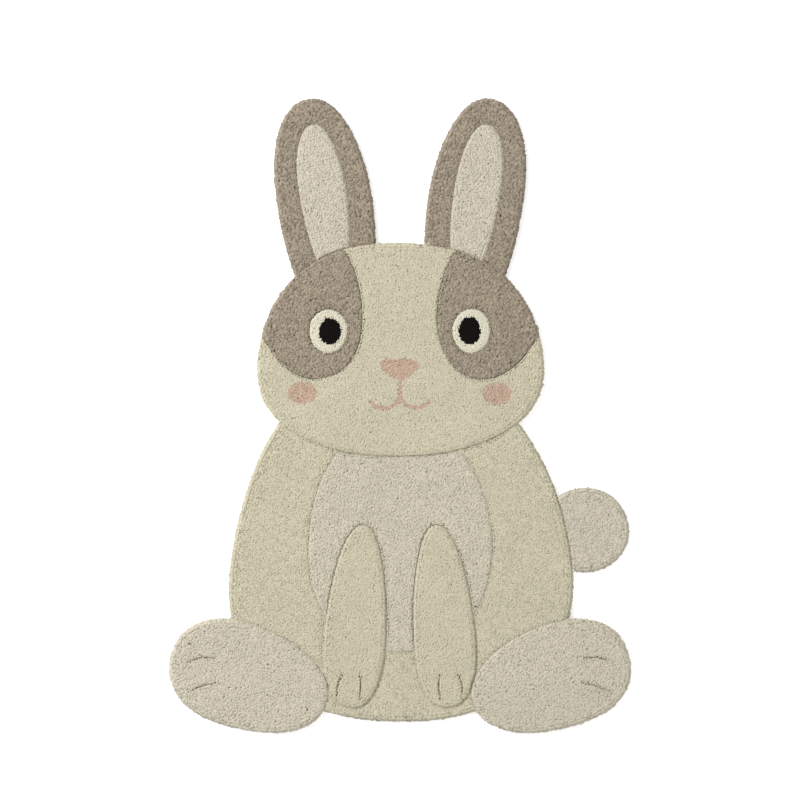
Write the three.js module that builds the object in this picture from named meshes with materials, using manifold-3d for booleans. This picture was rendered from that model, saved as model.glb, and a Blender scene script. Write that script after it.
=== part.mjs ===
// A child's rug in the outline of a sitting rabbit, hand-tufted in one piece from wool.
// The cut pile is level within each zone of colour, and bevelled down to a fine groove along its edge.
// Millimetres, +Z up. The rug lies flat on Z = 0, with the ears towards +Y.
// Its box is centred on the origin in X and Y.
import * as THREE from 'three';
import Module from 'manifold-3d';
import { mergeVertices } from 'three/addons/utils/BufferGeometryUtils.js';

// Driving dimensions
const RUG_WIDTH = 800;
const RUG_LENGTH = 1100;
const ABOVE_PILE = 26; // safely over the highest pile
const OUTLINE_STEP = 18; // spacing of the points on an outline
const FEWEST_POINTS = 30;
const WOBBLE = 0.005; // share by which a hand-drawn outline strays from its curve
const WOBBLE_WAVES = [3, 5]; // how often it strays on the way round
const LINE_HALF_WIDTH = 4; // of a carved line, at the top of its V
const LINE_DEPTH = 3;
const LINE_STEPS = 8;
const LINE_BLUNT = 0.12; // share of the swelling that is cut off at each end of the line
const LINE_OVER = 1; // how far over the pile the cut begins
const WELD = 1e-4; // points closer than this are one

const IVORY = 0xc8c1a8;

// The edge of a zone's pile, from the floor up: how far inside the outline, and how far above the floor,
// or which share of the way from the zone's groove to its top.
const PILE_EDGE = [
  { inset: 5, above_floor: 0 },
  { inset: 0, above_floor: 6 },
  { inset: 0.8, share: 0 },
  { inset: 4.5, share: 0.68 },
  { inset: 10, share: 1 },
];

// The carving round a zone: how far outside its outline, and how far above its groove or above the floor.
const GROOVE_WALL = [
  { grow: 0.3, above_groove: 0 },
  { grow: 1, above_groove: 1.4 },
  { grow: 2.5, above_groove: 3 },
  { grow: 4, above_floor: ABOVE_PILE },
];

// The zones, each over those before it. x, y: middle. half_width, half_length: along the zone's own axes.
// taper: how much wider its far end is. tilt: degrees, anticlockwise.
// fullness: 2 is an ellipse, more is squarer. top: height of the cut pile.
// groove: height at which the carving round it ends and its bevelled edge starts.
// pair: also mirrored to the other side. within: the zone that bounds it.
const ZONES = [
  { name: 'tail', x: 322, y: -196, half_width: 76, half_length: 74, taper: 0, tilt: 0,
    fullness: 2, top: 12, groove: 8 },
  { name: 'body', x: 0, y: -210, half_width: 290, half_length: 318, taper: -0.2, tilt: 0,
    fullness: 2.25, top: 11.5, groove: 8 },
  { name: 'belly', x: 0, y: -205, half_width: 160, half_length: 205, taper: -0.1, tilt: 0,
    fullness: 2.1, top: 14, groove: 11.2 },
  { name: 'foreleg', x: 75, y: -345, half_width: 53, half_length: 160, taper: -0.22, tilt: 4,
    fullness: 2.3, top: 17.5, groove: 12.5, pair: true },
  { name: 'foot', x: 262, y: -453, half_width: 91, half_length: 142, taper: 0.1, tilt: -72,
    fullness: 2.2, top: 15.5, groove: 11.2, pair: true },
  { name: 'ear', x: 128, y: 352, half_width: 82, half_length: 204, taper: 0.1, tilt: -9,
    fullness: 2.1, top: 11.5, groove: 8, pair: true },
  { name: 'inner_ear', x: 131, y: 370, half_width: 41, half_length: 142, taper: 0.12, tilt: -9,
    fullness: 2.1, top: 14, groove: 11.2, pair: true },
  { name: 'head', x: 0, y: 118, half_width: 246, half_length: 186, taper: -0.1, tilt: 0,
    fullness: 2.3, top: 15.5, groove: 11.2 },
  { name: 'patch', x: 162, y: 206, half_width: 94, half_length: 142, taper: 0, tilt: -14,
    fullness: 2.1, top: 17, groove: 13.8, pair: true, within: 'head' },
  { name: 'eye', x: 124, y: 150, half_width: 34, half_length: 39, taper: 0, tilt: 0,
    fullness: 2, top: 17.5, groove: 14.5, pair: true },
];

// Short carved lines between the toes. x, y: the inner end. length: from there.
// heading: degrees, anticlockwise from +X. bend: sideways bow at mid-length.
const TOE_LINES = [
  { zone: 'foot', x: 320, y: -418, length: 48, heading: -8, bend: 4 },
  { zone: 'foot', x: 316, y: -462, length: 50, heading: -16, bend: 3 },
  { zone: 'foreleg', x: 70, y: -446, length: 44, heading: -88, bend: -3 },
  { zone: 'foreleg', x: 101, y: -444, length: 44, heading: -80, bend: 3 },
];

const wasm = await Module();
wasm.setup();

// A closed surface through rings of equally many points, each end closed by a fan round its middle.
function loft(rings) {
  const count = rings[0].length;
  const middles = [rings[0], rings.at(-1)].map((ring) =>
    ring.reduce((sum, point) => sum.add(point), new THREE.Vector3()).divideScalar(count));
  const points = [...rings.flat(), ...middles];
  const [first, last] = [points.length - 2, points.length - 1];
  const lastRing = (rings.length - 1) * count;
  const index = [];
  for (let i = 0; i < count; i++) {
    const next = (i + 1) % count;
    index.push(first, next, i, last, lastRing + i, lastRing + next);
    for (let ring = 0; ring < lastRing; ring += count) {
      index.push(ring + i, ring + next, ring + count + next);
      index.push(ring + i, ring + count + next, ring + count + i);
    }
  }
  return new THREE.BufferGeometry().setFromPoints(points).setIndex(index);
}

function toSolid(geometry) {
  const merged = mergeVertices(geometry, WELD);
  return new wasm.Manifold(new wasm.Mesh({
    numProp: 3,
    vertProperties: merged.attributes.position.array,
    triVerts: new Uint32Array(merged.index.array),
  }));
}

function toGeometry(solid) {
  const mesh = solid.getMesh();
  const geometry = new THREE.BufferGeometry();
  geometry.setAttribute('position', new THREE.BufferAttribute(mesh.vertProperties, 3));
  geometry.setIndex(new THREE.BufferAttribute(mesh.triVerts, 1));
  geometry.computeVertexNormals();
  return geometry;
}

// A zone's outline, anticlockwise, as drawn in the table. side is -1 for the mirrored one of a pair.
function drawnOutline(zone, side) {
  const around = Math.PI * (zone.half_width + zone.half_length);
  const count = Math.max(FEWEST_POINTS, Math.round(around / OUTLINE_STEP));
  const power = 2 / zone.fullness;
  const rounded = (value) => Math.sign(value) * Math.abs(value) ** power;
  const points = Array.from({ length: count }, (_, i) => {
    const angle = (2 * Math.PI * i) / count;
    const along = rounded(Math.cos(angle));
    const across = -rounded(Math.sin(angle)) * (1 + zone.taper * along);
    const slow = Math.sin(WOBBLE_WAVES[0] * angle + zone.x);
    const quick = Math.sin(WOBBLE_WAVES[1] * angle + side * zone.y);
    const stray = 1 + WOBBLE * (slow + quick);
    return new THREE.Vector2(across * zone.half_width, along * zone.half_length)
      .multiplyScalar(stray)
      .rotateAround(new THREE.Vector2(), THREE.MathUtils.degToRad(zone.tilt))
      .add(new THREE.Vector2(zone.x, zone.y));
  });
  if (side > 0) return points;
  return points.map((point) => new THREE.Vector2(-point.x, point.y)).reverse();
}

// Each zone once for every side that it is on, with its outline.
const placed = ZONES.flatMap((zone) =>
  (zone.pair ? [1, -1] : [1]).map((side) => ({ ...zone, outline: drawnOutline(zone, side) })));

// The drawing is fitted to the rug's width and length, and centred.
const drawnBox = new THREE.Box2().setFromPoints(placed.flatMap((zone) => zone.outline));
const drawnSize = drawnBox.getSize(new THREE.Vector2());
const drawnCentre = drawnBox.getCenter(new THREE.Vector2());
const fitScale = new THREE.Vector2(RUG_WIDTH, RUG_LENGTH).divide(drawnSize);
const fitted = (point) => point.clone().sub(drawnCentre).multiply(fitScale);
for (const zone of placed) zone.outline = zone.outline.map(fitted);

// The outline moved outwards by grow, or inwards where grow is negative, at one height.
function ringAt(outline, grow, height) {
  return outline.map((point, i) => {
    const before = outline.at(i - 1);
    const after = outline[(i + 1) % outline.length];
    const outward = new THREE.Vector2(after.y - before.y, before.x - after.x).normalize();
    return new THREE.Vector3(point.x + grow * outward.x, point.y + grow * outward.y, height);
  });
}

// The height that a row of an edge or of a carving has on one zone.
function levelOf(row, zone) {
  if ('share' in row) return THREE.MathUtils.lerp(zone.groove, zone.top, row.share);
  if ('above_groove' in row) return zone.groove + row.above_groove;
  return row.above_floor;
}

// The pile of one zone, bevelled at its edge and standing on the floor.
function pile(zone) {
  return toSolid(loft(PILE_EDGE.map((row) => ringAt(zone.outline, -row.inset, levelOf(row, zone)))));
}

// What the shears take away round a zone.
function carving(zone) {
  return toSolid(loft(GROOVE_WALL.map((row) => ringAt(zone.outline, row.grow, levelOf(row, zone)))));
}

// A straight-sided column over a whole zone.
function column(zone) {
  return toSolid(loft([0, ABOVE_PILE].map((height) => ringAt(zone.outline, 0, height))));
}

// A V-shaped cut along a short, slightly bowed line.
function carvedLine(line, side) {
  const heading = THREE.MathUtils.degToRad(line.heading);
  const along = new THREE.Vector2(Math.cos(heading), Math.sin(heading));
  const sideways = new THREE.Vector2(-along.y, along.x);
  const { top } = ZONES.find((zone) => zone.name === line.zone);
  const sections = Array.from({ length: LINE_STEPS + 1 }, (_, i) => {
    const share = i / LINE_STEPS;
    const swell = Math.sin(Math.PI * THREE.MathUtils.lerp(LINE_BLUNT, 1 - LINE_BLUNT, share));
    const drawn = new THREE.Vector2(line.x, line.y)
      .addScaledVector(along, share * line.length)
      .addScaledVector(sideways, line.bend * Math.sin(Math.PI * share));
    const half = LINE_HALF_WIDTH * swell;
    const edge = (offset, height) => {
      const point = drawn.clone().addScaledVector(sideways, offset);
      point.x *= side;
      return new THREE.Vector3(...fitted(point), height);
    };
    const section = [
      edge(half, top + LINE_OVER),
      edge(-half, top + LINE_OVER),
      edge(0, top - LINE_DEPTH * swell),
    ];
    return side > 0 ? section : section.reverse();
  });
  return toSolid(loft(sections));
}

// The tufting, zone over zone, each cutting its groove into what is already there.
let rug = null;
for (const zone of placed) {
  if (zone.within) {
    const bound = placed.find((other) => other.name === zone.within);
    rug = rug.subtract(carving(zone).subtract(pile(zone)).intersect(column(bound)));
  } else {
    rug = rug ? rug.subtract(carving(zone)).add(pile(zone)) : pile(zone);
  }
}
for (const line of TOE_LINES) {
  for (const side of [1, -1]) rug = rug.subtract(carvedLine(line, side));
}

const rugMesh = new THREE.Mesh(
  toGeometry(rug),
  new THREE.MeshStandardMaterial({ color: IVORY, roughness: 0.95, metalness: 0 }),
);
rugMesh.name = 'rug';

const group = new THREE.Group();
group.add(rugMesh);
export default group;
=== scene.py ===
"""A child's rug in the outline of a sitting rabbit, hand-tufted in wool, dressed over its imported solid.

Every tuft of the cut pile stands on the ground cloth and ends on the solid's surface, so the pile keeps the
solid's outline, its zone heights and its carved grooves. Tables are in millimetres, Blender is in metres.
"""

import math
from collections import namedtuple

import bmesh
import bpy
import numpy as np
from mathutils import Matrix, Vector
from mathutils.bvhtree import BVHTree
from mathutils.kdtree import KDTree


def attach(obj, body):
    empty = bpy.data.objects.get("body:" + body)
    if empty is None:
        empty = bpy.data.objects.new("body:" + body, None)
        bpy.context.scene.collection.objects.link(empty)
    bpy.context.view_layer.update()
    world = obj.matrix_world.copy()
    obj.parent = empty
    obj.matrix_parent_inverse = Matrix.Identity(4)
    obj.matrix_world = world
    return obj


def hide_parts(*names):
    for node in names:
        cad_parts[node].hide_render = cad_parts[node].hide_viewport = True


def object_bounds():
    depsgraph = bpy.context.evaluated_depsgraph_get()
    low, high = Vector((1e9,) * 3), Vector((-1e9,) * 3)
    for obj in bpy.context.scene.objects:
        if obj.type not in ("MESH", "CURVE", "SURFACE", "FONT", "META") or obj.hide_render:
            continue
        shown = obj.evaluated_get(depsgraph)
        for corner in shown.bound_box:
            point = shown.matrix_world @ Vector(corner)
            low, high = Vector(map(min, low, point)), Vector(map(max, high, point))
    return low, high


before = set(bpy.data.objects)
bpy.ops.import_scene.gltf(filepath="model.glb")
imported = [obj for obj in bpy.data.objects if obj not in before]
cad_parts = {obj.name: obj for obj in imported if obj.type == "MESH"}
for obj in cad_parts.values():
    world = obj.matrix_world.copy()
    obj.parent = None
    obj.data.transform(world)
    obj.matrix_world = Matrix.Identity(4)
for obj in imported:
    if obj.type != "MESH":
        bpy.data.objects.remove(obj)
cad_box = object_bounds()

MM = 0.001
SEED = 11

# Outlines: the same drawing as the solid's
OUTLINE_STEP = 18
FEWEST_POINTS = 30
WOBBLE = 0.005  # share by which a hand-drawn outline strays from its curve
WOBBLE_WAVES = (3, 5)  # how often it strays on the way round

# The zones of colour, each over those before it, before the drawing is fitted to the solid's box.
# half_width and half_length lie along the zone's own axes, taper widens its far end, tilt is in degrees,
# fullness is 2 for an ellipse and more for a squarer shape, pair mirrors it to the other side,
# within names the zone that bounds it.
Zone = namedtuple("Zone", "name colour x y half_width half_length taper tilt fullness pair within")
ZONES = [
    Zone("tail", "stone", 322, -196, 76, 74, 0, 0, 2, False, None),
    Zone("body", "ivory", 0, -210, 290, 318, -0.2, 0, 2.25, False, None),
    Zone("belly", "stone", 0, -205, 160, 205, -0.1, 0, 2.1, False, None),
    Zone("foreleg", "ivory", 75, -345, 53, 160, -0.22, 4, 2.3, True, None),
    Zone("foot", "stone", 262, -453, 91, 142, 0.1, -72, 2.2, True, None),
    Zone("ear", "taupe", 128, 352, 82, 204, 0.1, -9, 2.1, True, None),
    Zone("inner_ear", "stone", 131, 370, 41, 142, 0.12, -9, 2.1, True, None),
    Zone("head", "ivory", 0, 118, 246, 186, -0.1, 0, 2.3, False, None),
    Zone("patch", "taupe", 162, 206, 94, 142, 0, -14, 2.1, True, "head"),
    Zone("eye", "cream", 124, 150, 34, 39, 0, 0, 2, True, None),
    Zone("pupil", "black", 121, 150, 19, 24, 0, 0, 2, True, None),
    Zone("cheek", "pink", 168, 42, 26, 20, 0, 0, 2, True, None),
    Zone("nose", "pink", 0, 84, 31, 19, 0.45, 0, 2.2, False, None),
]

# The mouth: a short line down from the nose, then a curl to each side
MOUTH_COLOUR = "pink"
MOUTH_HALF_WIDTH = 3.6
MOUTH_TOP = 68
MOUTH_FORK = 40
CURL_WIDTH = 27
CURL_DEPTH = 24
CURL_TURN = 150  # degrees from the fork to the end of the curl
CURL_POINTS = 16

# Lines carved between the toes: the inner end, length, heading in degrees from +X, and bow at mid-length
ToeLine = namedtuple("ToeLine", "x y length heading bend")
TOE_LINES = [
    ToeLine(320, -418, 48, -8, 4),
    ToeLine(316, -462, 50, -16, 3),
    ToeLine(70, -446, 44, -88, -3),
    ToeLine(101, -444, 44, -80, 3),
]

# Carving: the pile is parted along each zone's edge and along the toe lines
CARVED = ["tail", "body", "belly", "foreleg", "foot", "ear", "inner_ear", "head", "patch", "eye"]
GROOVE_MIDDLE = 0.6  # the bottom of a groove lies this far outside its zone
LINE_STEP = 2.4  # spacing of the tufts along a carved line
LINE_ROWS = (-2.0, 0.0, 2.0)  # distance of their rows from its middle
LINE_RADIUS = 2.1
LINE_LEAN = 0.04  # away from the line, per millimetre from its middle
LINE_CLEAR = 3.3  # the other tufts are rooted this far from its middle
LINE_OPEN = 1.0  # and keep about this far from it
LINE_VARIES = 0.6  # more in places, and less in others

# Pile
GROUND_TOP = 2.5  # top of the ground cloth
FLOOR_CLEAR = 0.3  # the lowest that a tuft reaches
RIM_CLEAR = 6  # the pile is rooted this far inside the rug's outline
RIM_REACH = 26  # and leans outwards up to this far inside it
RIM_LEAN = 30  # degrees, at the outermost roots
RIM_SPREAD = 0.45  # by which a tuft is wider there
RIM_STEP = 2.8  # spacing along the outline of the rows that turn down over the edge
RIM_RADIUS = 2.4
RIM_ROWS = [  # the rows' inset from the outline, height of the root, and lean in degrees
    (7.0, 3.4, 26),
    (6.8, 3.4, 36),
    (6.6, 3.3, 46),
    (6.2, 3.2, 57),
    (5.6, 3.0, 70),
    (5.0, 2.6, 86),
]
RIM_UNEVEN = 5  # degrees, in the lean of those rows
RIM_STRAY = (0.6, 0.2)  # of their roots, sideways and in height
RIM_SAMPLE = 2  # spacing of the points that stand for the rug's outline
ROOT_JITTER = 0.16  # of the pitch
RANDOM_LEAN = 0.05  # sideways per unit of height
BRUSHED_LEAN = 0.0375  # the same, in slow waves over the rug
CUT_UNEVEN = 0.10  # tilt of a tuft's cut end against the rug's surface
CUT_STEEPEST = 0.6  # cosine of the most that a tuft is cut askew
SIDES = 4
RING_UNEVEN = 0.12  # of a tuft's radius, from corner to corner
TUFT_ROWS = [(0.0, 0.50), (0.93, 1.0)]  # share of the length, and of the tuft's radius
LAID_OUT = (0.48, 0.36)  # share of a tuft's room at which its rows lie in the layout for the bake
NEARLY_UPRIGHT = 0.8  # rise of a direction that is too upright to be crossed with the vertical
MOST_TUFTS = 15500  # in one piece

# Slow waves over the rug: radians per metre along X and Y, phase and height
Wave = namedtuple("Wave", "x y phase height")
BRUSHED_ACROSS = [Wave(17, 9, 0, 1), Wave(-13, 31, 1.3, 1), Wave(53, 41, 0.4, 0.6)]
BRUSHED_ALONG = [Wave(7, 23, 2.1, 1), Wave(37, -19, 0, 1), Wave(-29, 61, 1.7, 0.6)]
LINE_OPENING = [Wave(29, -43, 0.8, 1), Wave(71, 37, 2.6, 1), Wave(-59, 97, 0, 1)]

# Yarns: base colour, pitch of the tufts, their radius as a share of it,
# unevenness of their length and of their tone, and sheen
Yarn = namedtuple("Yarn", "base pitch cover uneven tone sheen")
YARNS = {
    "ivory": Yarn((0.482, 0.443, 0.326), 2.8, 1.17, 0.013, 0.038, 0.2),
    "stone": Yarn((0.485, 0.445, 0.352), 3.2, 1.08, 0.018, 0.048, 0.2),
    "taupe": Yarn((0.275, 0.228, 0.168), 3.9, 1.00, 0.026, 0.115, 0.2),
    "cream": Yarn((0.585, 0.555, 0.436), 2.2, 1.10, 0.015, 0.040, 0.2),
    "black": Yarn((0.003, 0.0025, 0.0015), 2.0, 1.10, 0.020, 0.100, 0.0),
    "pink": Yarn((0.447, 0.325, 0.241), 2.2, 1.05, 0.020, 0.090, 0.2),
}

# Wool: scale of each noise per metre, its roughness, and the tone that it adds or takes away in all
MOTTLE_SCALE = 14.0
MOTTLE_ROUGHNESS = 0.6
MOTTLE_DEPTH = 0.16
FIBRE_SCALE = 600.0
FIBRE_ROUGHNESS = 0.7
FIBRE_DEPTH = 0.42
FIBRE_BUMP = 0.5
FIBRE_RELIEF = 0.6
NOISE_DETAIL = 3.0
PAINTED_ROOT_SHADE = 0.8  # painted shade: the tone of a tuft at its root, darker there for the shade that falls between the tufts
WOOL_ROUGHNESS = 0.95
WOOL_SPECULAR = 0.15
SHEEN_ROUGHNESS = 0.6

# Ground cloth
GROUND_COLOUR = (0.50, 0.43, 0.31)
THREAD = 1.1  # spacing of its threads
THREAD_SHARE = 0.5  # of the threads in its relief, against the slubs
THREAD_BUMP = 0.6
THREAD_RELIEF = 0.4
SLUB_SCALE = 260.0
SLUB_ROUGHNESS = 0.6
RELIEF_RANGE = (-0.1, 1.1)  # from the lowest to the highest place in the weave
WEAVE_PAINTED_SHADES = (0.72, 1.08)  # painted shade: the tone of each, the hollows of the weave darker
COTTON_ROUGHNESS = 0.9
COTTON_SPECULAR = 0.2
UNDERSIDE_WITHIN = 0.1  # of the floor
SAME_PLANE = 1  # degrees between faces that are merged into one

# Photograph: its frame is square and looks straight down
FRAME_WIDTH = 1390
CAMERA_HEIGHT = 3200
LOOKED_AT = (0, 27)
SENSOR = 36

# Floor and light, in metres and watts
FLOOR_SIZE = 36  # so that a low view doesn't show the floor's end
FLOOR_GAP = 0.0005
FLOOR_COLOUR = (0.95, 0.95, 0.95, 1)
FLOOR_GLOW = 0.45
FLOOR_ROUGHNESS = 0.9
FLOOR_SPECULAR = 0.1
WHITE = (1, 1, 1, 1)
SURROUNDINGS = 0.48
Lamp = namedtuple("Lamp", "name place size energy")
LAMPS = [
    Lamp("key", (-4.5, 2.7, 4.5), 2.4, 580),
    Lamp("fill", (4.6, -2.8, 1.5), 3.0, 100),
]

Area = namedtuple("Area", "name colour outlines")
Tufts = namedtuple("Tufts", "roots directions radii")
rng = np.random.default_rng(SEED)


def drawn_outline(zone, side):
    """A zone's outline as drawn, anticlockwise or, for the mirrored one of a pair, clockwise."""
    around = math.pi * (zone.half_width + zone.half_length)
    count = max(FEWEST_POINTS, math.floor(around / OUTLINE_STEP + 0.5))
    angle = 2 * math.pi * np.arange(count) / count
    power = 2 / zone.fullness
    along = np.sign(np.cos(angle)) * np.abs(np.cos(angle)) ** power
    across = -np.sign(np.sin(angle)) * np.abs(np.sin(angle)) ** power * (1 + zone.taper * along)
    slow = np.sin(WOBBLE_WAVES[0] * angle + zone.x)
    quick = np.sin(WOBBLE_WAVES[1] * angle + side * zone.y)
    stray = 1 + WOBBLE * (slow + quick)
    u = across * zone.half_width * stray
    v = along * zone.half_length * stray
    tilt = math.radians(zone.tilt)
    x = zone.x + u * math.cos(tilt) - v * math.sin(tilt)
    y = zone.y + u * math.sin(tilt) + v * math.cos(tilt)
    return np.stack([side * x, y], axis=1)


def stroke_outline(line, half_width):
    """The closed outline of a line drawn with a round-ended brush of that half width."""
    step = np.gradient(line, axis=0)
    step /= np.linalg.norm(step, axis=1, keepdims=True)
    sideways = half_width * np.stack([-step[:, 1], step[:, 0]], axis=1)
    return np.concatenate([line + sideways, line[-1:] + half_width * step[-1:], (line - sideways)[::-1],
                           line[:1] - half_width * step[:1]])


def mouth_outlines():
    """The mouth's three strokes as drawn."""
    down = np.stack([np.zeros(CURL_POINTS), np.linspace(MOUTH_TOP, MOUTH_FORK, CURL_POINTS)], axis=1)
    turn = np.radians(np.linspace(180, 180 + CURL_TURN, CURL_POINTS))
    curl = np.stack([CURL_WIDTH * (1 + np.cos(turn)), MOUTH_FORK + CURL_DEPTH * np.sin(turn)], axis=1)
    return [stroke_outline(line, MOUTH_HALF_WIDTH) for line in (down, curl, curl * [-1, 1])]


def drawn_areas():
    """Every zone as drawn, once for each side that it is on."""
    areas = []
    for zone in ZONES:
        for side in (1, -1) if zone.pair else (1,):
            areas.append((zone, drawn_outline(zone, side)))
    return areas


def fitting():
    """The function that fits the drawing, in millimetres, to the solid's box, in metres."""
    points = np.concatenate([outline for _, outline in drawn_areas()])
    low, high = points.min(axis=0), points.max(axis=0)
    size = np.array(cad_box[1])[:2] - np.array(cad_box[0])[:2]
    return lambda drawn: (drawn - (low + high) / 2) * size / (high - low)


def placed_areas(fitted):
    """Every area of colour with the outlines that bound it, in the order in which they lie."""
    whole = {zone.name: fitted(outline) for zone, outline in drawn_areas()}
    areas = []
    for zone, outline in drawn_areas():
        bounds = [fitted(outline)] + ([whole[zone.within]] if zone.within else [])
        areas.append(Area(zone.name, zone.colour, bounds))
    for outline in mouth_outlines():
        areas.append(Area("mouth", MOUTH_COLOUR, [fitted(outline)]))
    return areas


def inside(points, outline):
    """Which of the points lie inside a closed outline."""
    x, y = points[:, :1], points[:, 1:]
    start_x, start_y = outline.T
    end_x, end_y = np.roll(outline, -1, axis=0).T
    crosses = (start_y > y) != (end_y > y)
    rise = np.where(end_y == start_y, 1, end_y - start_y)
    meets = start_x + (y - start_y) * (end_x - start_x) / rise
    return np.count_nonzero(crosses & (x < meets), axis=1) % 2 == 1


def covered(points, area):
    """Which of the points lie in the area, whatever lies over it."""
    return np.all([inside(points, outline) for outline in area.outlines], axis=0)


def covered_by_any(points, areas):
    """Which of the points lie in at least one of the areas."""
    return np.any([covered(points, area) for area in areas], axis=0)


def owners(points, areas):
    """The uppermost area at each of the points, by its number, or -1."""
    owner = np.full(len(points), -1)
    for index, area in enumerate(areas):
        owner[covered(points, area)] = index
    return owner


def resampled(outline, step):
    """Points about that far apart along a closed outline, with the outward direction at each."""
    closed = np.concatenate([outline, outline[:1]])
    along = np.concatenate([[0], np.cumsum(np.linalg.norm(np.diff(closed, axis=0), axis=1))])
    at = np.linspace(0, along[-1], round(along[-1] / step), endpoint=False)
    points = np.stack([np.interp(at, along, closed[:, k]) for k in range(2)], axis=1)
    forward = np.roll(points, -1, axis=0) - np.roll(points, 1, axis=0)
    x, y = outline.T
    turning = np.sign(np.sum(x * np.roll(y, -1) - np.roll(x, -1) * y))
    outward = turning * np.stack([forward[:, 1], -forward[:, 0]], axis=1)
    return points, outward / np.linalg.norm(outward, axis=1, keepdims=True)


def rug_rim(areas, step):
    """Points along the whole rug's outline, with the outward direction at each."""
    rims = []
    for index, area in enumerate(areas):
        points, outward = resampled(area.outlines[0], step)
        free = ~covered_by_any(points + MM * outward, areas[:index] + areas[index + 1:])
        rims.append((points[free], outward[free]))
    return np.concatenate([points for points, _ in rims]), np.concatenate([out for _, out in rims])


def toe_lines(fitted):
    """Points along the carved lines between the toes, with the direction across each line."""
    lines = []
    for line in TOE_LINES:
        heading = math.radians(line.heading)
        along = np.array([math.cos(heading), math.sin(heading)])
        sideways = np.array([-along[1], along[0]])
        share = np.linspace(0, 1, round(line.length / LINE_STEP))[:, None]
        drawn = np.array([line.x, line.y]) + share * line.length * along
        drawn = drawn + line.bend * np.sin(math.pi * share) * sideways
        for mirror in ([1, 1], [-1, 1]):
            lines.append((fitted(drawn * mirror), np.tile(sideways * mirror, (len(drawn), 1))))
    return lines


def carved_lines(areas, fitted):
    """Points along the bottom of every groove that shows, with the direction across it at each."""
    lines = toe_lines(fitted)
    carved = [area for area in areas if area.name in CARVED]
    for index, area in enumerate(carved):
        points, outward = resampled(area.outlines[0], LINE_STEP * MM)
        middle = points + GROOVE_MIDDLE * MM * outward
        shown = covered_by_any(middle + MM * outward, carved[:index] + carved[index + 1:])
        for later in carved[index + 1:]:
            shown &= ~covered(middle, later)
        for bound in area.outlines[1:]:
            shown &= inside(points, bound)
        lines.append((middle[shown], outward[shown]))
    return np.concatenate([points for points, _ in lines]), np.concatenate([out for _, out in lines])


class Nearest:
    """Finds which of a set of points is the nearest one."""

    def __init__(self, points):
        self.tree = KDTree(len(points))
        for at, (x, y) in enumerate(points):
            self.tree.insert((x, y, 0), at)
        self.tree.balance()

    def find(self, points):
        """For each point, the number of the nearest one and its distance in millimetres."""
        found = [self.tree.find((x, y, 0)) for x, y in points]
        return np.array([at for _, at, _ in found]), np.array([away for _, _, away in found]) / MM


def hex_grid(outline, pitch):
    """A jittered grid of points, each with six neighbours, over an outline's box."""
    low, high = outline.min(axis=0), outline.max(axis=0)
    row_step = pitch * math.sqrt(3) / 2
    columns = np.arange(low[0], high[0] + pitch, pitch)
    rows = np.arange(low[1], high[1] + row_step, row_step)
    x, y = np.meshgrid(columns, rows)
    x[1::2] += pitch / 2
    points = np.stack([x.ravel(), y.ravel()], axis=1)
    return points + rng.normal(0, ROOT_JITTER * pitch, points.shape)


def waved(points, waves):
    """The sum of slow waves at each of the points."""
    x, y = points.T
    return sum(wave.height * np.sin(wave.x * x + wave.y * y + wave.phase) for wave in waves)


def brushed(points):
    """How far the pile leans at each of the points, as brushed by hand."""
    lean = [waved(points, waves) for waves in (BRUSHED_ACROSS, BRUSHED_ALONG)]
    return BRUSHED_LEAN * np.stack(lean, axis=1)


def opened(points):
    """How wide the carving stands open round each point, from -1 to 1."""
    return waved(points, LINE_OPENING) / len(LINE_OPENING)


def tips_of(roots, directions, surface):
    """Where the tufts meet the solid's surface, its direction there, and which tufts do meet it."""
    found = [surface.ray_cast(Vector(root), Vector(direction).normalized())[:2]
             for root, direction in zip(roots, directions)]
    met = np.array([tip is not None for tip, _ in found])
    tips = np.array([tip for tip, _ in found if tip is not None]).reshape(-1, 3)
    facing = np.array([normal for _, normal in found if normal is not None]).reshape(-1, 3)
    return tips, facing, met


def standing(points, lean, radii, rim, rim_outward):
    """Tufts rooted at those points, save at the rug's very edge; near it they turn outwards."""
    nearest, inset = rim.find(points)
    share = np.clip((RIM_REACH - inset) / (RIM_REACH - RIM_CLEAR), 0, 1)
    lean = lean + brushed(points) + rng.normal(0, RANDOM_LEAN, points.shape)
    lean += rim_outward[nearest] * np.tan(np.radians(RIM_LEAN) * share)[:, None]
    roots = np.column_stack([points, np.full(len(points), GROUND_TOP * MM)])
    directions = np.column_stack([lean, np.ones(len(points))])
    kept = inset > RIM_CLEAR
    radii = radii * (1 + RIM_SPREAD * share)
    return Tufts(roots[kept], directions[kept], radii[kept])


def field_points(index, areas, lines):
    """The roots and radii of the tufts in the field of one area, clear of its carved lines."""
    area = areas[index]
    yarn = YARNS[area.colour]
    points = hex_grid(area.outlines[0], yarn.pitch * MM)
    points = points[covered(points, area)]
    for later in areas[index + 1:]:
        points = points[~covered(points, later)]
    _, away = lines.find(points)
    kept = away > LINE_CLEAR
    radii = np.minimum(yarn.cover * yarn.pitch, away - LINE_OPEN - LINE_VARIES * opened(points)) * MM
    return points[kept], radii[kept]


def line_rows(points, across):
    """The roots, lean and radii of the rows of tufts along the carved lines."""
    roots = np.concatenate([points + row * MM * across for row in LINE_ROWS])
    lean = np.concatenate([row * LINE_LEAN * across for row in LINE_ROWS])
    return roots, lean, np.full(len(roots), LINE_RADIUS * MM)


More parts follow.
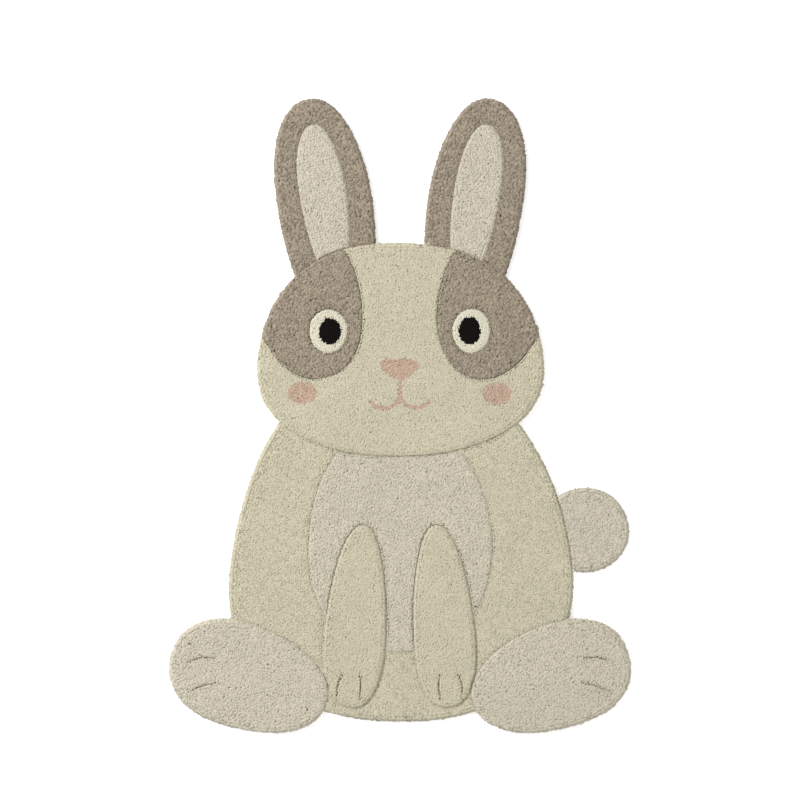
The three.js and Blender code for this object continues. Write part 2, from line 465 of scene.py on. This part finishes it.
def rim_rows(areas):
    """The rows of tufts that turn down over the rug's edge."""
    points, outward = rug_rim(areas, RIM_STEP * MM)
    roots, directions = [], []
    for inset, height, lean in RIM_ROWS:
        tilt = np.radians(lean + rng.normal(0, RIM_UNEVEN, len(points)))[:, None]
        foot = points - inset * MM * outward + rng.normal(0, RIM_STRAY[0] * MM, points.shape)
        level = rng.normal(height * MM, RIM_STRAY[1] * MM, len(points))
        swing = rng.normal(0, RANDOM_LEAN, points.shape)
        roots.append(np.column_stack([foot, level]))
        directions.append(np.column_stack([(outward + swing) * np.sin(tilt), np.cos(tilt)]))
    roots = np.concatenate(roots)
    return Tufts(roots, np.concatenate(directions), np.full(len(roots), RIM_RADIUS * MM))


def across_axes(axes):
    """Two directions across each of the axes."""
    upright = np.abs(axes[:, 2:]) > NEARLY_UPRIGHT
    helper = np.where(upright, [1.0, 0.0, 0.0], [0.0, 0.0, 1.0])
    first = np.cross(axes, helper)
    first /= np.linalg.norm(first, axis=1, keepdims=True)
    return first, np.cross(axes, first)


def joined_mesh(name, points, triangles):
    """A smooth-shaded mesh object from arrays of points and triangles."""
    mesh = bpy.data.meshes.new(name)
    mesh.vertices.add(len(points))
    mesh.vertices.foreach_set("co", points.ravel())
    mesh.loops.add(triangles.size)
    mesh.loops.foreach_set("vertex_index", triangles.ravel())
    mesh.polygons.add(len(triangles))
    mesh.polygons.foreach_set("loop_start", np.arange(0, triangles.size, 3))
    mesh.polygons.foreach_set("use_smooth", np.ones(len(triangles), bool))
    mesh.update(calc_edges=True)
    mesh.validate()
    piece = bpy.data.objects.new(name, mesh)
    bpy.context.scene.collection.objects.link(piece)
    return piece


def tuft_triangles():
    """One tuft's triangles: bands between its rings and a fan over the last one."""
    triangles = []
    for side in range(SIDES):
        after = (side + 1) % SIDES
        for ring in range(len(TUFT_ROWS) - 1):
            low, high = ring * SIDES, (ring + 1) * SIDES
            triangles += [(low + side, low + after, high + after), (low + side, high + after, high + side)]
        last = (len(TUFT_ROWS) - 1) * SIDES
        triangles.append((last + side, last + after, len(TUFT_ROWS) * SIDES))
    return np.array(triangles)


def tuft_layout(piece, triangles, roots, radii, pitch):
    """Lays the tufts out flat for the bake: each unrolled round its tip, where the tuft stands."""
    low = roots[:, :2].min(axis=0) - pitch
    extent = np.max(roots[:, :2].max(axis=0) + pitch - low)
    angle = 2 * math.pi * np.arange(SIDES) / SIDES
    circle = np.stack([np.cos(angle), np.sin(angle)], axis=1)
    flat = np.concatenate([share * circle for share in LAID_OUT] + [[[0, 0]]])
    room = np.minimum(radii, pitch)[:, None, None]
    layout = (roots[:, None, :2] - low + flat[None] * room) / extent
    layer = piece.data.uv_layers.new(name="OFBake")
    layer.data.foreach_set("uv", layout.reshape(-1, 2)[triangles.ravel()].ravel().astype(np.float32))


def cut_spokes(axes, facing):
    """The ways from each tuft's middle to its corners, in the slanting plane in which it is cut."""
    first, second = across_axes(axes)
    twist = rng.uniform(0, 2 * math.pi, (len(axes), 1)) + 2 * math.pi * np.arange(SIDES) / SIDES
    spoke = np.cos(twist)[..., None] * first[:, None] + np.sin(twist)[..., None] * second[:, None]
    aligned = np.maximum(np.sum(axes * facing, axis=1), CUT_STEEPEST)
    slant = np.sum(spoke * facing[:, None], axis=2) / aligned[:, None]
    return spoke - slant[..., None] * axes[:, None]


def tuft_points(roots, tips, facing, radii, yarn):
    """The points of each tuft: its rows of corners from the root up, then its top."""
    reach = tips - roots
    length = np.linalg.norm(reach, axis=1, keepdims=True)
    axes = reach / length
    length *= 1 - np.abs(rng.normal(0, yarn.uneven, length.shape))
    facing = facing + rng.normal(0, CUT_UNEVEN, facing.shape)
    facing /= np.linalg.norm(facing, axis=1, keepdims=True)
    spoke = cut_spokes(axes, facing)
    rows = []
    for share, width in TUFT_ROWS:
        wide = width * radii[:, None, None] * (1 + rng.normal(0, RING_UNEVEN, (len(roots), SIDES, 1)))
        rows.append((roots + share * length * axes)[:, None] + wide * spoke)
    top = (roots + length * axes)[:, None]
    points = np.concatenate(rows + [top], axis=1)
    points[..., 2] = np.maximum(points[..., 2], FLOOR_CLEAR * MM)
    return points


def mark(piece, name, values):
    """Keeps a number for every point of the piece, for its material to read."""
    layer = piece.data.attributes.new(name, "FLOAT", "POINT")
    layer.data.foreach_set("value", values.astype(np.float32))


def make_pile(name, roots, tips, facing, radii, colour):
    """One piece of pile: a tuft from each root to its tip, cut level with the rug's surface."""
    yarn = YARNS[colour]
    points = tuft_points(roots, tips, facing, radii, yarn)
    count, per_tuft = points.shape[:2]
    triangles = (tuft_triangles()[None] + per_tuft * np.arange(count)[:, None, None]).reshape(-1, 3)
    piece = joined_mesh(name, points.reshape(-1, 3), triangles)
    mark(piece, "tone", np.repeat(rng.normal(0, yarn.tone, count), per_tuft))
    # how far up its tuft each point lies; the material paints shade towards the root from it
    rise = np.concatenate([np.repeat([share for share, _ in TUFT_ROWS], SIDES), [1]])
    mark(piece, "rise", np.tile(rise, count))
    tuft_layout(piece, triangles, roots, radii, yarn.pitch * MM)
    piece.data.materials.append(pile_material(colour))
    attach(piece, "root")
    return piece


def node(tree, kind, **settings):
    """A shader node with its settings: properties by name, and inputs by their socket's name."""
    made = tree.nodes.new(kind)
    for key, value in settings.items():
        if hasattr(made, key):
            setattr(made, key, value)
        else:
            made.inputs[key.replace("_", " ")].default_value = value
    return made


def new_material(name, roughness, specular):
    """A material with only a Principled shader, its node tree and that shader."""
    material = bpy.data.materials.new(name)
    material.use_nodes = True
    tree = material.node_tree
    tree.nodes.clear()
    shader = node(tree, "ShaderNodeBsdfPrincipled", Roughness=roughness, Specular_IOR_Level=specular)
    output = node(tree, "ShaderNodeOutputMaterial")
    tree.links.new(shader.outputs[0], output.inputs[0])
    return material, tree, shader


def math_node(tree, operation, *values):
    """The result of one sum, product or the like of two or three values, each a socket or a number."""
    made = node(tree, "ShaderNodeMath", operation=operation)
    for socket, value in zip(made.inputs, values):
        if isinstance(value, (int, float)):
            socket.default_value = value
        else:
            tree.links.new(value, socket)
    return made.outputs[0]


def noise(tree, place, scale, roughness):
    """A noise texture that is fixed to the object."""
    texture = node(tree, "ShaderNodeTexNoise", Scale=scale, Detail=NOISE_DETAIL, Roughness=roughness)
    tree.links.new(place, texture.inputs["Vector"])
    return texture.outputs["Fac"]


def varied(tree, texture, depth):
    """A factor about 1 that follows a noise texture."""
    return math_node(tree, "MULTIPLY_ADD", texture, depth, 1 - depth / 2)


def tint(tree, shader, colour, shade):
    """Gives the shader a colour times a shade."""
    scaled = node(tree, "ShaderNodeVectorMath", operation="SCALE")
    scaled.inputs[0].default_value = colour
    tree.links.new(shade, scaled.inputs["Scale"])
    tree.links.new(scaled.outputs[0], shader.inputs["Base Color"])


def emboss(tree, shader, height, strength, relief):
    """Gives the shader a relief of that many millimetres."""
    bump = node(tree, "ShaderNodeBump", Strength=strength, Distance=relief * MM)
    tree.links.new(height, bump.inputs["Height"])
    tree.links.new(bump.outputs[0], shader.inputs["Normal"])


def pile_material(colour):
    """Cut wool: each tuft its own tone, painted shade darkening it towards the root, soft mottling, and a
    fuzz of fibres.
    """
    name = f"{colour}_wool"
    if name in bpy.data.materials:
        return bpy.data.materials[name]
    material, tree, shader = new_material(name, WOOL_ROUGHNESS, WOOL_SPECULAR)
    place = node(tree, "ShaderNodeTexCoord").outputs["Object"]
    tone = node(tree, "ShaderNodeAttribute", attribute_name="tone").outputs["Fac"]
    rise = node(tree, "ShaderNodeAttribute", attribute_name="rise").outputs["Fac"]
    # painted shade: each tuft is darker towards its root, as if shaded by its neighbours
    depth = node(tree, "ShaderNodeMapRange", To_Min=PAINTED_ROOT_SHADE, To_Max=1.0)
    tree.links.new(rise, depth.inputs["Value"])
    mottle = noise(tree, place, MOTTLE_SCALE, MOTTLE_ROUGHNESS)
    fibre = noise(tree, place, FIBRE_SCALE, FIBRE_ROUGHNESS)
    shade = math_node(tree, "ADD", tone, 1.0)
    shade = math_node(tree, "MULTIPLY", shade, depth.outputs[0])
    shade = math_node(tree, "MULTIPLY", shade, varied(tree, mottle, MOTTLE_DEPTH))
    shade = math_node(tree, "MULTIPLY", shade, varied(tree, fibre, FIBRE_DEPTH))
    tint(tree, shader, YARNS[colour].base, shade)
    emboss(tree, shader, fibre, FIBRE_BUMP, FIBRE_RELIEF)
    shader.inputs["Sheen Weight"].default_value = YARNS[colour].sheen
    shader.inputs["Sheen Roughness"].default_value = SHEEN_ROUGHNESS
    return material


def ground_material():
    """Plain-woven cotton: threads over and under each other, with slubs, and painted shade in the hollows
    of the weave.
    """
    material, tree, shader = new_material("ground_weave", COTTON_ROUGHNESS, COTTON_SPECULAR)
    place = node(tree, "ShaderNodeTexCoord").outputs["Object"]
    parts = node(tree, "ShaderNodeSeparateXYZ")
    tree.links.new(place, parts.inputs[0])
    threads = []
    for axis in "XY":
        turns = math_node(tree, "MULTIPLY", parts.outputs[axis], math.pi / (THREAD * MM))
        threads.append(math_node(tree, "SINE", turns))
    weave = math_node(tree, "MULTIPLY", *threads)
    slub = noise(tree, place, SLUB_SCALE, SLUB_ROUGHNESS)
    height = math_node(tree, "MULTIPLY_ADD", weave, THREAD_SHARE, slub)
    # painted shade: the lower a place lies in the weave's relief, the darker its colour
    shade = node(tree, "ShaderNodeMapRange", From_Min=RELIEF_RANGE[0], From_Max=RELIEF_RANGE[1],
                 To_Min=WEAVE_PAINTED_SHADES[0], To_Max=WEAVE_PAINTED_SHADES[1])
    tree.links.new(height, shade.inputs["Value"])
    tint(tree, shader, GROUND_COLOUR, shade.outputs[0])
    emboss(tree, shader, height, THREAD_BUMP, THREAD_RELIEF)
    return material


def make_ground():
    """The ground cloth: the solid's flat underside, as thick as the cloth and its glue."""
    shape = bmesh.new()
    shape.from_mesh(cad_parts["rug"].data)
    above = [face for face in shape.faces if max(vert.co.z for vert in face.verts) > UNDERSIDE_WITHIN * MM]
    bmesh.ops.delete(shape, geom=above, context="FACES")
    same_plane = math.radians(SAME_PLANE)
    bmesh.ops.dissolve_limit(shape, angle_limit=same_plane, verts=shape.verts, edges=shape.edges)
    raised = bmesh.ops.extrude_face_region(shape, geom=shape.faces[:])
    for item in raised["geom"]:
        if isinstance(item, bmesh.types.BMVert):
            item.co.z += GROUND_TOP * MM
    bmesh.ops.triangulate(shape, faces=shape.faces)
    bmesh.ops.recalc_face_normals(shape, faces=shape.faces)
    mesh = bpy.data.meshes.new("rug_ground")
    shape.to_mesh(mesh)
    shape.free()
    ground = bpy.data.objects.new("rug_ground", mesh)
    bpy.context.scene.collection.objects.link(ground)
    mesh.materials.append(ground_material())
    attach(ground, "root")
    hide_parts("rug")
    return ground


def all_tufts(areas, fitted):
    """The tufts of each area: in its field, along the carved lines and over the rug's edge."""
    rim_points, rim_outward = rug_rim(areas, RIM_SAMPLE * MM)
    rim = Nearest(rim_points)
    line_points, line_across = carved_lines(areas, fitted)
    lines = Nearest(line_points)
    rows = [standing(*line_rows(line_points, line_across), rim, rim_outward), rim_rows(areas)]
    owner = [owners(row.roots[:, :2], areas) for row in rows]
    tufts = []
    for index in range(len(areas)):
        points, radii = field_points(index, areas, lines)
        lots = [standing(points, np.zeros(points.shape), radii, rim, rim_outward)]
        lots += [Tufts(*(part[own == index] for part in row)) for row, own in zip(rows, owner)]
        tufts.append(Tufts(*(np.concatenate(parts) for parts in zip(*lots))))
    return tufts


def grown_pile(areas, fitted):
    """By the name and colour of the areas, their tufts' roots, tips, surface's directions and radii."""
    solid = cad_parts["rug"].data
    surface = BVHTree.FromPolygons([vert.co for vert in solid.vertices],
                                   [face.vertices[:] for face in solid.polygons])
    grown = {}
    for area, tufts in zip(areas, all_tufts(areas, fitted)):
        tips, facing, met = tips_of(tufts.roots, tufts.directions, surface)
        lot = (tufts.roots[met], tips, facing, tufts.radii[met])
        grown.setdefault((area.name, area.colour), []).append(lot)
    return {key: [np.concatenate(parts) for parts in zip(*lots)] for key, lots in grown.items()}


def make_rug():
    """The ground cloth and the pile on it, in pieces by area, all attached to one body."""
    fitted = fitting()
    grown = grown_pile(placed_areas(fitted), fitted)
    ground = make_ground()
    for (name, colour), parts in grown.items():
        order = np.argsort(parts[0][:, 0], kind="stable")
        shares = math.ceil(len(order) / MOST_TUFTS)
        for number, chosen in enumerate(np.array_split(order, shares)):
            label = f"pile_{name}" + (f"_{number + 1}" if shares > 1 else "")
            make_pile(label, *(part[chosen] for part in parts), colour)


def make_floor():
    """A plain pale floor, faintly lit from below as a light table is; it isn't part of the rug."""
    bpy.ops.mesh.primitive_plane_add(size=FLOOR_SIZE, location=(0, 0, -FLOOR_GAP))
    floor = bpy.context.object
    floor.name = "floor"
    material, _, shader = new_material("pale_floor", FLOOR_ROUGHNESS, FLOOR_SPECULAR)
    shader.inputs["Base Color"].default_value = FLOOR_COLOUR
    shader.inputs["Emission Color"].default_value = WHITE
    shader.inputs["Emission Strength"].default_value = FLOOR_GLOW
    floor.data.materials.append(material)


def make_lamp(lamp):
    """A square soft lamp that looks at the rug's middle."""
    light = bpy.data.lights.new(lamp.name, "AREA")
    light.energy = lamp.energy
    light.size = lamp.size
    holder = bpy.data.objects.new(lamp.name, light)
    holder.location = lamp.place
    holder.rotation_euler = (-holder.location).to_track_quat("-Z", "Y").to_euler()
    bpy.context.scene.collection.objects.link(holder)


def make_lights():
    """Even white surroundings, a large soft lamp from the upper left and a low weak one opposite it."""
    world = bpy.data.worlds.new("studio")
    world.use_nodes = True
    background = world.node_tree.nodes["Background"]
    background.inputs["Color"].default_value = WHITE
    background.inputs["Strength"].default_value = SURROUNDINGS
    bpy.context.scene.world = world
    for lamp in LAMPS:
        make_lamp(lamp)


def make_camera():
    """The photograph's camera: straight above, with the ears at the top of the picture."""
    lens = bpy.data.cameras.new("camera")
    lens.sensor_width = SENSOR
    lens.lens = SENSOR * CAMERA_HEIGHT / FRAME_WIDTH
    camera = bpy.data.objects.new("camera", lens)
    camera.location = (LOOKED_AT[0] * MM, LOOKED_AT[1] * MM, CAMERA_HEIGHT * MM)
    bpy.context.scene.collection.objects.link(camera)
    bpy.context.scene.camera = camera


make_rug()
make_floor()
make_lights()
make_camera()
bpy.context.scene.view_settings.view_transform = "Standard"
